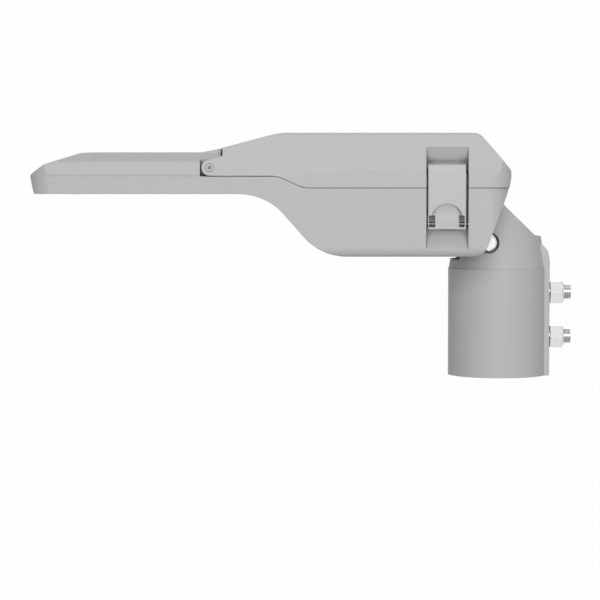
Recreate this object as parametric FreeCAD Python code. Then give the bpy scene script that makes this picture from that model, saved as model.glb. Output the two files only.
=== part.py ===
import FreeCAD, Part
import math
import os

V = FreeCAD.Vector

# Frame: origin at the centre of the mast socket's mouth, +Z up the mast, -X towards the tip of the head.

# Driving sizes in millimetres. Heights build up from the mast socket, lengths from the tilt pivot.
MAST_DIAMETER = 76.0
SOCKET_CLEARANCE = 1.0
SOCKET_DEPTH = 93.6
SLEEVE_WALL = 4.0
SLEEVE_FLOOR = 8.0
SLEEVE_STRAIGHT = SOCKET_DEPTH + 0.4
SLEEVE_HEIGHT = SOCKET_DEPTH + SLEEVE_FLOOR
SLEEVE_TAPER = 0.165
BORE_R = MAST_DIAMETER / 2 + SOCKET_CLEARANCE
SLEEVE_R = BORE_R + SLEEVE_WALL
CABLE_HOLE_R = 11.0
PAD_REACH = 1.6
PAD_HALF_WIDTH = 16.0
PAD_FACE_X = SLEEVE_R + PAD_REACH
SCREW_R = 6.0
SCREW_LENGTH = 25.0
SCREW_HEIGHTS = (33.5, SOCKET_DEPTH - 21.2)
SCREW_SETBACK = 0.3
NUT_ACROSS_FLATS = 19.0
NUT_HEIGHT = 12.0
NUT_CROWN = 5.0
NUT_WASHER = 1.4

PIVOT_X = -10.6
PIVOT_Z = SLEEVE_HEIGHT + 15.4
FORK_R = 35.3
FORK_HALF = BORE_R + 2.0
FORK_GAP_HALF = 22.0
LUG_PLAY = 0.2
LUG_R = 14.0
LUG_INNER = 9.0
NOTCH_PLAY = 1.2
NOTCH_WALL = 3.5
TILT_BOLT_R = 4.0
TILT_BOLT_PLAY = 0.06
BOLT_ACROSS_FLATS = 13.0
BOLT_HEAD = 5.3
TILT_NUT = 6.5
WASHER_R = 8.0
WASHER_T = 1.6
COUNTERBORE_R = 9.2
COUNTERBORE_FLOOR = FORK_HALF - 11.5
MITRE_FOOT = (BORE_R - 6.9, PIVOT_Z + 4.7)
MITRE_TOP = (MITRE_FOOT[0] - 28.1, PIVOT_Z + 31.5)
FORK_WEB_X = BORE_R - 15.0

TRAY_LENGTH = 92.0
BEAK_LENGTH = 38.1
FRONT_LENGTH = 160.9
HALF_WIDTH = 100.0
FRONT_BOTTOM = PIVOT_Z + 43.2
FRONT_TOP = FRONT_BOTTOM + 34.5
CREASE_Z = FRONT_BOTTOM + 15.4
SHOULDER_Z = FRONT_BOTTOM + 26.8
SHOULDER_TUCK = 1.4
ROOF_HALF = HALF_WIDTH - 21.0
LOWER_TUCK = 1.8
BEAK_TOP = FRONT_TOP + 3.6
BOTTOM_Z = PIVOT_Z - 9.7
PLAN_R = 20.0
BEND_R = 50.0
HOUSING_WALL = 3.5

REAR_X = PIVOT_X + 13.6
TRAY_REAR = REAR_X - 61.0
TRAY_X = (TRAY_REAR - TRAY_LENGTH, TRAY_REAR)
BELLY_REAR_X = REAR_X - 22.5
BELLY_X = (TRAY_X[0] - 52.0, TRAY_X[0] - 5.5)
BEAK_X = BELLY_X[0] - BEAK_LENGTH
TIP_X = BEAK_X - FRONT_LENGTH
TIP_NOSE = (13.0, 24.8)
FRONT_ROOF_X = (TIP_X + 43.0, BEAK_X - 17.9)

PARTING_FRONT = CREASE_Z - 0.6
PARTING_REAR = CREASE_Z - 10.5
PARTING_STEP_X = (BEAK_X + 47.5, BEAK_X + 69.7)
PARTING_R = 22.0
PARTING_GAP = 0.35

COVER_FRONT_X = BEAK_X + 1.7
COVER_FRONT_Z = BEAK_TOP + 0.6
COVER_TOP = CREASE_Z + 35.9
COVER_ROOF_X = BEAK_X + 49.2
COVER_ROOF_R = 55.0
COVER_REAR_X = REAR_X + 2.2
COVER_REAR_TOP_X = COVER_REAR_X - 28.2
COVER_SHOULDER = (COVER_REAR_X - 0.6, CREASE_Z + 4.0)
COVER_WALL = 3.0
COVER_TUCK = 5.4
LIP_EDGE = 0.8
RIDGE_Z = CREASE_Z + 4.0
RIDGE_STEP = 2.7
RIDGE_FADE_X = (BEAK_X + 46.0, BEAK_X + 100.0)
RIDGE_FADE_RISE = 0.9

KNUCKLE_R = 6.8
PIN_X = BEAK_X - 9.1
PIN_Z = PARTING_FRONT + PARTING_GAP + KNUCKLE_R + 0.15
PIN_R = 2.5
PIN_PLAY = 0.06
EAR_T = 4.3
EAR_OUTER = HALF_WIDTH - RIDGE_STEP
EAR_INNER = EAR_OUTER - EAR_T
EAR_PLAY = 0.4
PIN_HEAD_R = 3.25
PIN_HEAD_T = 1.2
PIN_SOCKET_R = 1.5
PIN_DEPTH = 9.0
POCKET_X = PIN_X - KNUCKLE_R - 1.1

GASKET_HALF = HALF_WIDTH - 15.5
GASKET_WIDTH = 4.0
GASKET_T = 3.0
FLANGE_T = 4.0
GASKET_FRONT_X = COVER_FRONT_X + 7.8
GASKET_REAR_X = REAR_X - 10.0

LATCH_X = (REAR_X - 68.9, REAR_X - 37.4)
LATCH_PLAY = (1.6, 2.2)
LATCH_TOP = CREASE_Z + 9.2
LATCH_BOTTOM = CREASE_Z - 44.8
LATCH_PLATE = 3.0
LATCH_AXIS_Y = HALF_WIDTH - 5.7
LATCH_AXIS_Z = LATCH_TOP - 4.3
LATCH_BARREL_R = 2.6
LATCH_PIN_R = 1.5
RECESS_FLOOR_Y = HALF_WIDTH - 11.0
RECESS_TOP = LATCH_TOP + 14.5
RECESS_BOTTOM = BOTTOM_Z + 5.3
CATCH_ROD_R = 1.6
CATCH_ROD_Y = HALF_WIDTH - 6.1
CATCH_ROD_Z = LATCH_BOTTOM + 4.1
NOSE_R = 1.0
NOSE_OUT = 1.9
NOSE_DROP = 3.0
NOSE_HALF = 8.0
WINDOW_Z = (LATCH_BOTTOM + 1.5, LATCH_BOTTOM + 11.4)
WINDOW_EDGES = ((0.6, 5.9), (1.0, 5.6))
SCOOP_R = 13.2
SCOOP_APEX_Z = LATCH_BOTTOM + 21.5
SCOOP_LOW_Z = LATCH_BOTTOM + 2.0
SCOOP_DEPTH = 4.8
SCOOP_EDGE = 1.0
SCOOP_SHELL = 1.0
SCOOP_LEG = 9.9

FRAME_X = (TIP_X + 11.0, BEAK_X - 9.9)
FRAME_HALF = HALF_WIDTH - 10.0
FRAME_T = 2.0
FRAME_PLAY = 0.3
FRAME_CORNER_R = 12.0
GLASS_X = (FRAME_X[0] + 8.0, FRAME_X[1] - 8.0)
GLASS_HALF = FRAME_HALF - 8.0
GLASS_T = 4.0
GLASS_PLAY = 0.5
GLASS_CORNER_R = 6.0
LENS_GASKET_T = 2.0
LENS_GASKET_WIDTH = 5.0
BOARD_X = (GLASS_X[0] + 6.0, GLASS_X[1] - 6.0)
BOARD_HALF = GLASS_HALF - 9.0
BOARD_T = 1.6
BOARD_SEAT = FRONT_TOP - 20.7
BOARD_PLATE = 5.0
CHIP = 5.0
CHIP_T = 0.8
CHIP_EDGE = 14.0
CHIP_PITCH = 22.0
LENS_PLATE_T = 2.0
DOME_R = 12.0
DOME_DEPTH = 1.8
FIN_T = 3.0
FIN_PITCH = 20.0
FIN_EDGE = 16.0
ROOM_FRONT_X = TIP_X + 49.0
ROOM_HALF = HALF_WIDTH - 24.0
ROOM_ROOF_T = 3.7

TRAY_HALF = HALF_WIDTH - 26.0
TRAY_Z = BOTTOM_Z + 14.7
TRAY_T = 2.0
TRAY_EDGE = 8.0
DRIVER_WIDTH = 54.0
DRIVER_HEIGHT = 30.0
SURGE_SIZE = (34.0, 32.0, 26.0)
TERMINAL_SIZE = (24.0, 48.0, 18.0)
TERMINAL_WAYS = 5
CABLE_R = 4.5
GLAND_THREAD_R = 7.5
GLAND_R = 10.0
GLAND_Z = PIVOT_Z + 24.0
GLAND_SEAT_X = PIVOT_X - FORK_R - NOTCH_PLAY - NOTCH_WALL - 1.4
VALVE_X = TRAY_X[0] + 40.0
VALVE_Y = 40.0
VALVE_THREAD_R = 4.0
VALVE_HEAD_R = 7.0
EARTH_SCREW_Y = -30.0


def outline(points, plane, offset=0.0):
    """points are (u, v, corner radius); plane is xz, xy or yz, at the given offset along its normal."""
    place = {
        "xz": lambda u, v: V(u, offset, v),
        "xy": lambda u, v: V(u, v, offset),
        "yz": lambda u, v: V(offset, u, v),
    }[plane]
    count = len(points)
    starts = []
    ends = []
    middles = []
    for i in range(count):
        before = V(points[i - 1][0], points[i - 1][1], 0)
        here = V(points[i][0], points[i][1], 0)
        after = V(points[(i + 1) % count][0], points[(i + 1) % count][1], 0)
        radius = points[i][2] if len(points[i]) > 2 else 0.0
        back = before - here
        ahead = after - here
        back = back * (1.0 / back.Length)
        ahead = ahead * (1.0 / ahead.Length)
        half = math.acos(max(-1.0, min(1.0, back.x * ahead.x + back.y * ahead.y))) / 2.0
        if radius <= 0.0 or half > math.pi / 2 - 1e-4:
            starts.append(here)
            ends.append(here)
            middles.append(None)
            continue
        reach = radius / math.tan(half)
        middle = back + ahead
        middle = middle * (1.0 / middle.Length)
        starts.append(here + back * reach)
        ends.append(here + ahead * reach)
        middles.append(here + middle * (radius / math.sin(half) - radius))
    edges = []
    for i in range(count):
        if middles[i] is not None:
            arc = Part.Arc(place(starts[i].x, starts[i].y), place(middles[i].x, middles[i].y),
                           place(ends[i].x, ends[i].y))
            edges.append(arc.toShape())
        following = (i + 1) % count
        first = place(ends[i].x, ends[i].y)
        last = place(starts[following].x, starts[following].y)
        if first.distanceToPoint(last) > 1e-6:
            edges.append(Part.LineSegment(first, last).toShape())
    return Part.Face(Part.Wire(edges))


def side_prism(points, half_from, half_to):
    return outline(points, "xz", half_from).extrude(V(0, half_to - half_from, 0))


def plan_prism(points, low, high):
    return outline(points, "xy", low).extrude(V(0, 0, high - low))


def cross_prism(points, low, high):
    return outline(points, "yz", low).extrude(V(high - low, 0, 0))


def block(x_range, y_range, z_range):
    size = (x_range[1] - x_range[0], y_range[1] - y_range[0], z_range[1] - z_range[0])
    return Part.makeBox(*size, V(x_range[0], y_range[0], z_range[0]))


def plan_plate(x_range, half, z_range, corner=0.0):
    corners = [(x_range[0], -half, corner), (x_range[1], -half, corner),
               (x_range[1], half, corner), (x_range[0], half, corner)]
    return plan_prism(corners, z_range[0], z_range[1])


def rod_y(x, z, radius, low, high):
    return Part.makeCylinder(radius, high - low, V(x, low, z), V(0, 1, 0))


def rod_x(y, z, radius, low, high):
    return Part.makeCylinder(radius, high - low, V(low, y, z), V(1, 0, 0))


def rod_z(x, y, radius, low, high):
    return Part.makeCylinder(radius, high - low, V(x, y, low), V(0, 0, 1))


def hexagon(across_flats, height, base, direction):
    points = []
    for i in range(6):
        angle = math.radians(60 * i + 30)
        reach = across_flats / 2.0 / math.cos(math.radians(30))
        points.append(V(reach * math.cos(angle), reach * math.sin(angle), 0))
    points.append(points[0])
    prism = Part.Face(Part.makePolygon(points)).extrude(V(0, 0, height))
    prism.Placement = FreeCAD.Placement(base, FreeCAD.Rotation(V(0, 0, 1), direction))
    return prism


def mirrored(shape):
    return shape.mirror(V(0, 0, 0), V(0, 1, 0))


def both_sides(shape):
    return shape.fuse(mirrored(shape))


def group(shapes):
    return Part.makeCompound(shapes)


def save(name, shape):
    shape.exportStep("parts/" + name + ".step")


# Side outline of the joint between housing and cover, from front to rear
def parting(lift, front_x, rear_x):
    return [(front_x, PARTING_FRONT + lift), (PARTING_STEP_X[0], PARTING_FRONT + lift, PARTING_R),
            (PARTING_STEP_X[1], PARTING_REAR + lift, PARTING_R), (rear_x, PARTING_REAR + lift)]


def parting_band(low, high, front_x, rear_x):
    points = parting(low, front_x, rear_x) + parting(high, front_x, rear_x)[::-1]
    return side_prism(points, -HALF_WIDTH - 5, HALF_WIDTH + 5)


def plan_outline(inset, low, high, rear_x):
    return plan_plate((TIP_X + inset, rear_x - inset), HALF_WIDTH - inset, (low, high), PLAN_R - inset / 2)


def housing_outer():
    side = side_prism(
        [(TIP_X + 4, FRONT_BOTTOM, 2), (TIP_X, CREASE_Z, 1),
         (TIP_X + TIP_NOSE[0], FRONT_BOTTOM + TIP_NOSE[1], 1),
         (FRONT_ROOF_X[0], FRONT_TOP, 12), (FRONT_ROOF_X[1], FRONT_TOP, 60), (BEAK_X, BEAK_TOP)]
        + parting(0, BEAK_X, REAR_X)
        + [(BELLY_REAR_X, BOTTOM_Z, 13), (BELLY_X[1], BOTTOM_Z, BEND_R),
           (BELLY_X[0], FRONT_BOTTOM, BEND_R)], -HALF_WIDTH - 5, HALF_WIDTH + 5)
    lower = HALF_WIDTH - LOWER_TUCK
    shoulder = HALF_WIDTH - SHOULDER_TUCK
    cross = cross_prism(
        [(-lower, BOTTOM_Z, 8), (lower, BOTTOM_Z, 8), (HALF_WIDTH, CREASE_Z - 1.4),
         (HALF_WIDTH - 0.8, CREASE_Z - 0.4), (HALF_WIDTH - 0.3, CREASE_Z + 0.8), (shoulder, SHOULDER_Z, 2),
         (ROOF_HALF, FRONT_TOP + 0.2, 4), (ROOF_HALF, BEAK_TOP + 5), (-ROOF_HALF, BEAK_TOP + 5),
         (-ROOF_HALF, FRONT_TOP + 0.2, 4), (-shoulder, SHOULDER_Z, 2), (-HALF_WIDTH + 0.3, CREASE_Z + 0.8),
         (-HALF_WIDTH + 0.8, CREASE_Z - 0.4), (-HALF_WIDTH, CREASE_Z - 1.4)], TIP_X - 5, REAR_X + 5)
    return side.common(cross).common(plan_outline(0, BOTTOM_Z - 5, BEAK_TOP + 10, REAR_X))


def fork_cylinder(radius, half):
    return rod_y(PIVOT_X, PIVOT_Z, radius, -half, half)


def recess_x():
    return (LATCH_X[0] - LATCH_PLAY[0], LATCH_X[1] + LATCH_PLAY[1])


def latch_recess(inset):
    low_x = recess_x()[0] - inset
    high_x = recess_x()[1] + inset
    floor_y = RECESS_FLOOR_Y - inset
    outside = HALF_WIDTH + 4
    points = [(outside, RECESS_TOP + inset), (HALF_WIDTH - 4.6 - inset, RECESS_TOP + inset),
              (floor_y, LATCH_TOP + 1.8 + inset), (floor_y, LATCH_BOTTOM - 4 - inset),
              (HALF_WIDTH - 1.4 - inset, RECESS_BOTTOM - inset), (outside, RECESS_BOTTOM - inset)]
    return both_sides(cross_prism(points, low_x, high_x))


def lower_housing():
    outer = housing_outer()
    wall = HOUSING_WALL
    inner_side = side_prism(
        [(GASKET_FRONT_X + 8, PARTING_FRONT + 10), (GASKET_FRONT_X + 8, FRONT_BOTTOM + wall, 3),
         (BELLY_X[0] + 1.6, FRONT_BOTTOM + wall, BEND_R - wall),
         (BELLY_X[1] + 1.6, BOTTOM_Z + wall, BEND_R + wall),
         (BELLY_REAR_X - 4, BOTTOM_Z + wall, 9), (REAR_X - wall - 0.4, PARTING_REAR + 10)],
        -HALF_WIDTH, HALF_WIDTH)
    cavity = inner_side.common(plan_outline(wall + 1.4, BOTTOM_Z, PARTING_FRONT + 20, REAR_X))
    body = outer.cut(cavity)
    flange_opening = plan_plate((GASKET_FRONT_X + 8, GASKET_REAR_X - 6), GASKET_HALF - 6,
                                (BOTTOM_Z, COVER_TOP), 10)
    flange = parting_band(-FLANGE_T, 0, BEAK_X, REAR_X).common(outer).cut(flange_opening)
    recess_wall = latch_recess(wall).common(outer)
    notch_r = FORK_R + NOTCH_PLAY
    notch_half = FORK_HALF + NOTCH_PLAY
    notch_wall = fork_cylinder(notch_r + NOTCH_WALL, notch_half + NOTCH_WALL).common(outer)
    body = body.fuse([flange, recess_wall, notch_wall])
    body = body.cut([fork_cylinder(notch_r, notch_half), latch_recess(0)])
    lug_side = rod_y(PIVOT_X, PIVOT_Z, LUG_R, LUG_INNER, FORK_GAP_HALF - LUG_PLAY)
    lug_top = block((PIVOT_X - LUG_R, PIVOT_X + LUG_R), (LUG_INNER, FORK_GAP_HALF - LUG_PLAY),
                    (PIVOT_Z, PIVOT_Z + notch_r + 2))
    lug = lug_side.fuse(lug_top.common(fork_cylinder(notch_r + 1, notch_half)))
    bosses = []
    for x, y in tray_points():
        bosses.append(rod_z(x, y, 5.0, BOTTOM_Z + 1, TRAY_Z))
    gland_boss = block((GLAND_SEAT_X, PIVOT_X - 20), (-GLAND_R - 2, GLAND_R + 2),
                       (GLAND_Z - GLAND_R - 1, GLAND_Z + GLAND_R + 1))
    gland_boss = gland_boss.cut(fork_cylinder(notch_r, notch_half))
    body = body.fuse([both_sides(lug), gland_boss] + bosses)
    pocket = block((POCKET_X, BEAK_X + 5), (EAR_INNER - EAR_PLAY, HALF_WIDTH + 5),
                   (PARTING_FRONT, BEAK_TOP + 10))
    room_top = FRONT_TOP - ROOM_ROOF_T
    top_room = block((ROOM_FRONT_X, BEAK_X + 1), (-ROOM_HALF, ROOM_HALF),
                     (BOARD_SEAT + BOARD_PLATE, room_top))
    fins = []
    for y in centred(2 * (ROOM_HALF - FIN_EDGE), FIN_PITCH):
        fins.append(block((ROOM_FRONT_X - 1, BOARD_X[1]), (y - FIN_T / 2, y + FIN_T / 2),
                          (BOARD_SEAT + BOARD_PLATE - 1, room_top + 0.7)))
    body = body.cut(top_room).fuse(fins)
    glass_recess = (GLASS_X[0] - GLASS_PLAY, GLASS_X[1] + GLASS_PLAY)
    glass_top = FRONT_BOTTOM + FRAME_T + GLASS_T + LENS_GASKET_T
    cuts = [both_sides(pocket),
            plan_plate((FRAME_X[0] - FRAME_PLAY, FRAME_X[1] + FRAME_PLAY), FRAME_HALF + FRAME_PLAY,
                       (FRONT_BOTTOM - 5, FRONT_BOTTOM + FRAME_T), FRAME_CORNER_R + FRAME_PLAY),
            plan_plate(glass_recess, GLASS_HALF + GLASS_PLAY, (FRONT_BOTTOM - 5, glass_top),
                       GLASS_CORNER_R + GLASS_PLAY),
            plan_plate((BOARD_X[0] - GLASS_PLAY, BOARD_X[1] + GLASS_PLAY), BOARD_HALF + GLASS_PLAY,
                       (FRONT_BOTTOM - 5, BOARD_SEAT), 4),
            rod_y(PIVOT_X, PIVOT_Z, TILT_BOLT_R + TILT_BOLT_PLAY, -FORK_GAP_HALF, FORK_GAP_HALF),
            rod_x(0, GLAND_Z, GLAND_THREAD_R, GLAND_SEAT_X - 5, PIVOT_X),
            rod_z(VALVE_X, VALVE_Y, VALVE_THREAD_R, BOTTOM_Z - 5, BOTTOM_Z + wall + 5),
            rod_z(VALVE_X, VALVE_Y, VALVE_HEAD_R + 0.4, BOTTOM_Z - 5, BOTTOM_Z + 1.6)]
    for side in (-1, 1):
        low, high = sorted((side * (EAR_INNER - PIN_DEPTH), side * (HALF_WIDTH + 2)))
        cuts.append(rod_y(PIN_X, PIN_Z, PIN_R + 0.02, low, high))
        cuts.append(rod_x(side * CATCH_ROD_Y, CATCH_ROD_Z, CATCH_ROD_R + 0.02, *catch_rod_span()))
    for x, y in frame_screw_points():
        cuts.append(rod_z(x, y, 2.02, FRONT_BOTTOM, FRONT_BOTTOM + 10))
    for x, y in board_screw_points():
        cuts.append(rod_z(x, y, 1.52, BOARD_SEAT - 1, BOARD_SEAT + 4))
    for x, y in tray_points():
        cuts.append(rod_z(x, y, 2.02, TRAY_Z - 8, TRAY_Z + 1))
    return body.cut(cuts).removeSplitter()


def centred(span, pitch):
    """places at the given pitch, as many as the span holds, centred on zero"""
    steps = int(span / pitch)
    return [(i - steps / 2.0) * pitch for i in range(steps + 1)]


def tray_points():
    half = TRAY_HALF - TRAY_EDGE
    return [(x, y) for x in (TRAY_X[0] + TRAY_EDGE, TRAY_X[1] - TRAY_EDGE) for y in (-half, half)]


def frame_screw_points():
    edge = (FRAME_HALF + GLASS_HALF + GLASS_PLAY) / 2
    middle = (FRAME_X[0] + FRAME_X[1]) / 2
    pitch = (FRAME_X[1] - FRAME_X[0]) / 2 - 30
    return [(middle + pitch * i, side * edge) for i in (-1, 0, 1) for side in (-1, 1)]


def board_screw_points():
    return [(x, y) for x in (BOARD_X[0] + 4, BOARD_X[1] - 4) for y in (-BOARD_HALF + 4, BOARD_HALF - 4)]


def catch_rod_span():
    return (LATCH_X[0] - LATCH_PLAY[0] - 2.5, LATCH_X[1] + LATCH_PLAY[1] + 2.5)


def cover_section(x, inset, ridge):
    """cross-section of the cover at x; ridge is the (step in, height) of the line along its side"""
    wide = HALF_WIDTH - inset
    low_z = PARTING_REAR - 15.0
    right = [(wide, low_z), (wide, PARTING_FRONT), (wide - ridge[0], ridge[1]),
             (wide - COVER_TUCK, COVER_TOP - inset, 5)]
    left = [(-p[0],) + p[1:] for p in right[::-1]]
    return outline(right + left, "yz", x)


def cover_cross(inset):
    """the ridge along the cover's side fades out towards the hinge"""
    slope = COVER_TUCK / (COVER_TOP - PARTING_FRONT)
    faded = (slope * RIDGE_FADE_RISE, PARTING_FRONT + RIDGE_FADE_RISE)
    full = (RIDGE_STEP, RIDGE_Z)
    front = cover_section(TIP_X, inset, faded).extrude(V(RIDGE_FADE_X[0] - TIP_X, 0, 0))
    rear_length = COVER_REAR_X + 10 - RIDGE_FADE_X[1]
    rear = cover_section(RIDGE_FADE_X[1], inset, full).extrude(V(rear_length, 0, 0))
    ends = [cover_section(RIDGE_FADE_X[0], inset, faded).OuterWire,
            cover_section(RIDGE_FADE_X[1], inset, full).OuterWire]
    return front.fuse([Part.makeLoft(ends, True, True), rear])


def cover_outer():
    side = side_prism(
        parting(PARTING_GAP, COVER_FRONT_X, REAR_X)
        + [(COVER_REAR_X, PARTING_FRONT, 2), (*COVER_SHOULDER, 2), (COVER_REAR_TOP_X, COVER_TOP, 10),
           (COVER_ROOF_X, COVER_TOP, COVER_ROOF_R), (COVER_FRONT_X, COVER_FRONT_Z)],
        -HALF_WIDTH - 5, HALF_WIDTH + 5)
    plan = plan_outline(0, PARTING_REAR - 15, COVER_TOP + 10, COVER_REAR_X)
    return side.common(cover_cross(0)).common(plan)


def cover_inner():
    wall = COVER_WALL
    bevel = wall - LIP_EDGE
    side = side_prism(
        [(COVER_FRONT_X - 5, PARTING_REAR - 15), (REAR_X - wall, PARTING_REAR - 15),
         (COVER_REAR_X - wall, PARTING_FRONT),
         (COVER_SHOULDER[0] - wall, COVER_SHOULDER[1] - 1), (COVER_REAR_TOP_X - 1.6, COVER_TOP - wall, 7),
         (COVER_ROOF_X + 0.5, COVER_TOP - wall, COVER_ROOF_R - wall),
         (COVER_FRONT_X + bevel, COVER_FRONT_Z - wall + 0.6),
         (COVER_FRONT_X, COVER_FRONT_Z - LIP_EDGE), (COVER_FRONT_X - 5, COVER_FRONT_Z - LIP_EDGE - 5)],
        -HALF_WIDTH, HALF_WIDTH)
    plan = plan_outline(wall, PARTING_REAR - 20, COVER_TOP, COVER_REAR_X)
    return side.common(cover_cross(wall)).common(plan)


def ear():
    top_z = PIN_Z + KNUCKLE_R
    low_z = PIN_Z - KNUCKLE_R
    knuckle = rod_y(PIN_X, PIN_Z, KNUCKLE_R, EAR_INNER, HALF_WIDTH)
    arm = side_prism([(PIN_X, top_z), (PIN_X, low_z), (COVER_FRONT_X + 8, PARTING_FRONT + PARTING_GAP),
                      (COVER_FRONT_X + 8, top_z + 6), (COVER_FRONT_X, top_z + 3.3)], EAR_INNER, HALF_WIDTH)
    return knuckle.fuse(arm).common(cover_cross(0))


def top_cover():
    outer = cover_outer()
    body = outer.cut(cover_inner())
    opening = plan_plate((GASKET_FRONT_X + COVER_WALL, GASKET_REAR_X - 5), GASKET_HALF - 5,
                         (BOTTOM_Z, COVER_TOP + 10), 10)
    flange_low = GASKET_T
    flange = parting_band(flange_low, flange_low + COVER_WALL, GASKET_FRONT_X, REAR_X)
    flange = flange.common(outer).cut(opening)
    front_wall = block((GASKET_FRONT_X, GASKET_FRONT_X + COVER_WALL), (-HALF_WIDTH, HALF_WIDTH),
                       (PARTING_FRONT + GASKET_T, COVER_TOP)).common(outer)
    recess_wall = latch_recess(COVER_WALL).common(outer)
    body = body.fuse([flange, front_wall, recess_wall, ear(), mirrored(ear())])
    cuts = [latch_recess(0)]
    for side in (-1, 1):
        low, high = sorted((side * (EAR_INNER - 2), side * (EAR_OUTER + 2)))
        cuts.append(rod_y(PIN_X, PIN_Z, PIN_R + PIN_PLAY, low, high))
        low, high = sorted((side * EAR_OUTER, side * (HALF_WIDTH + 2)))
        cuts.append(rod_y(PIN_X, PIN_Z, PIN_HEAD_R + 0.2, low, high))
        cuts.append(rod_x(side * LATCH_AXIS_Y, LATCH_AXIS_Z, LATCH_PIN_R + 0.02, *latch_pin_span()))
    return body.cut(cuts).removeSplitter()


def latch_pin_span():
    return (LATCH_X[0] - LATCH_PLAY[0] - 3, LATCH_X[1] + LATCH_PLAY[1] + 3)


def hinge_pin():
    pin = rod_y(PIN_X, PIN_Z, PIN_R, EAR_INNER - PIN_DEPTH, EAR_OUTER + 0.1)
    head = rod_y(PIN_X, PIN_Z, PIN_HEAD_R, EAR_OUTER + 0.1, EAR_OUTER + 0.1 + PIN_HEAD_T)
    socket = rod_y(PIN_X, PIN_Z, PIN_SOCKET_R, EAR_OUTER, EAR_OUTER + 5)
    return pin.fuse(head).cut(socket)


def side_latch():
    side = HALF_WIDTH - RIDGE_STEP
    outer = [(side - 0.4, LATCH_TOP), (side, RIDGE_Z, 3), (HALF_WIDTH, CREASE_Z - 0.6, 3),
             (HALF_WIDTH - 0.2, PARTING_REAR), (HALF_WIDTH - 0.9, LATCH_BOTTOM)]
    inner = [(p[0] - LATCH_PLATE,) + (p[1],) + p[2:] for p in outer[::-1]]
    plate = cross_prism(outer + inner, LATCH_X[0], LATCH_X[1])
    barrel = rod_x(LATCH_AXIS_Y, LATCH_AXIS_Z, LATCH_BARREL_R, *LATCH_X)
    middle = (LATCH_X[0] + LATCH_X[1]) / 2
    nose_y = CATCH_ROD_Y + NOSE_OUT
    nose_z = CATCH_ROD_Z - NOSE_DROP
    nose = rod_x(nose_y, nose_z, NOSE_R, middle - NOSE_HALF, middle + NOSE_HALF)
    foot = block((middle - NOSE_HALF, middle + NOSE_HALF), (nose_y, nose_y + 1.5),
                 (nose_z - NOSE_R, nose_z + NOSE_R))
    low_window, high_window = WINDOW_EDGES
    windows = []
    for x_range in ((LATCH_X[0] + low_window[0], LATCH_X[0] + low_window[1]),
                    (LATCH_X[1] - high_window[1], LATCH_X[1] - high_window[0])):
        windows.append(block(x_range, (HALF_WIDTH - 10, HALF_WIDTH + 2), WINDOW_Z))
    shell = finger_scoop(SCOOP_SHELL).common(block(LATCH_X, (0, HALF_WIDTH - 2), (0, COVER_TOP)))
    bore = rod_x(LATCH_AXIS_Y, LATCH_AXIS_Z, LATCH_PIN_R + PIN_PLAY, LATCH_X[0] - 4, LATCH_X[1] + 4)
    body = plate.fuse([barrel, shell, nose, foot])
    return body.cut(windows + [finger_scoop(0), bore]).removeSplitter()


def finger_scoop(shell):
    """arched hollow for a finger, deepest half way up, grown by the shell's thickness"""
    middle = (LATCH_X[0] + LATCH_X[1]) / 2
    arch_z = SCOOP_APEX_Z - SCOOP_R
    inner = HALF_WIDTH - 15
    outer = HALF_WIDTH + 2
    arch = rod_y(middle, arch_z, SCOOP_R + shell, inner, outer)
    leg = SCOOP_LEG + shell
    arch = arch.fuse(block((middle - leg, middle + leg), (inner, outer), (SCOOP_LOW_Z - 5, arch_z)))
    chord = (SCOOP_APEX_Z - SCOOP_LOW_Z) / 2
    sag = SCOOP_DEPTH - SCOOP_EDGE
    radius = (chord * chord + sag * sag) / (2 * sag)
    bowl = rod_x(HALF_WIDTH - SCOOP_DEPTH + radius, SCOOP_LOW_Z + chord, radius + shell, *LATCH_X)
    return arch.common(bowl)


def cover_gasket():
    height = (BOTTOM_Z, COVER_TOP)
    ring = plan_plate((GASKET_FRONT_X, GASKET_REAR_X), GASKET_HALF, height, 12)
    hole = plan_plate((GASKET_FRONT_X + GASKET_WIDTH, GASKET_REAR_X - GASKET_WIDTH),
                      GASKET_HALF - GASKET_WIDTH, height, 12 - GASKET_WIDTH)
    return parting_band(0, GASKET_T, BEAK_X, REAR_X).common(ring.cut(hole))


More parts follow.
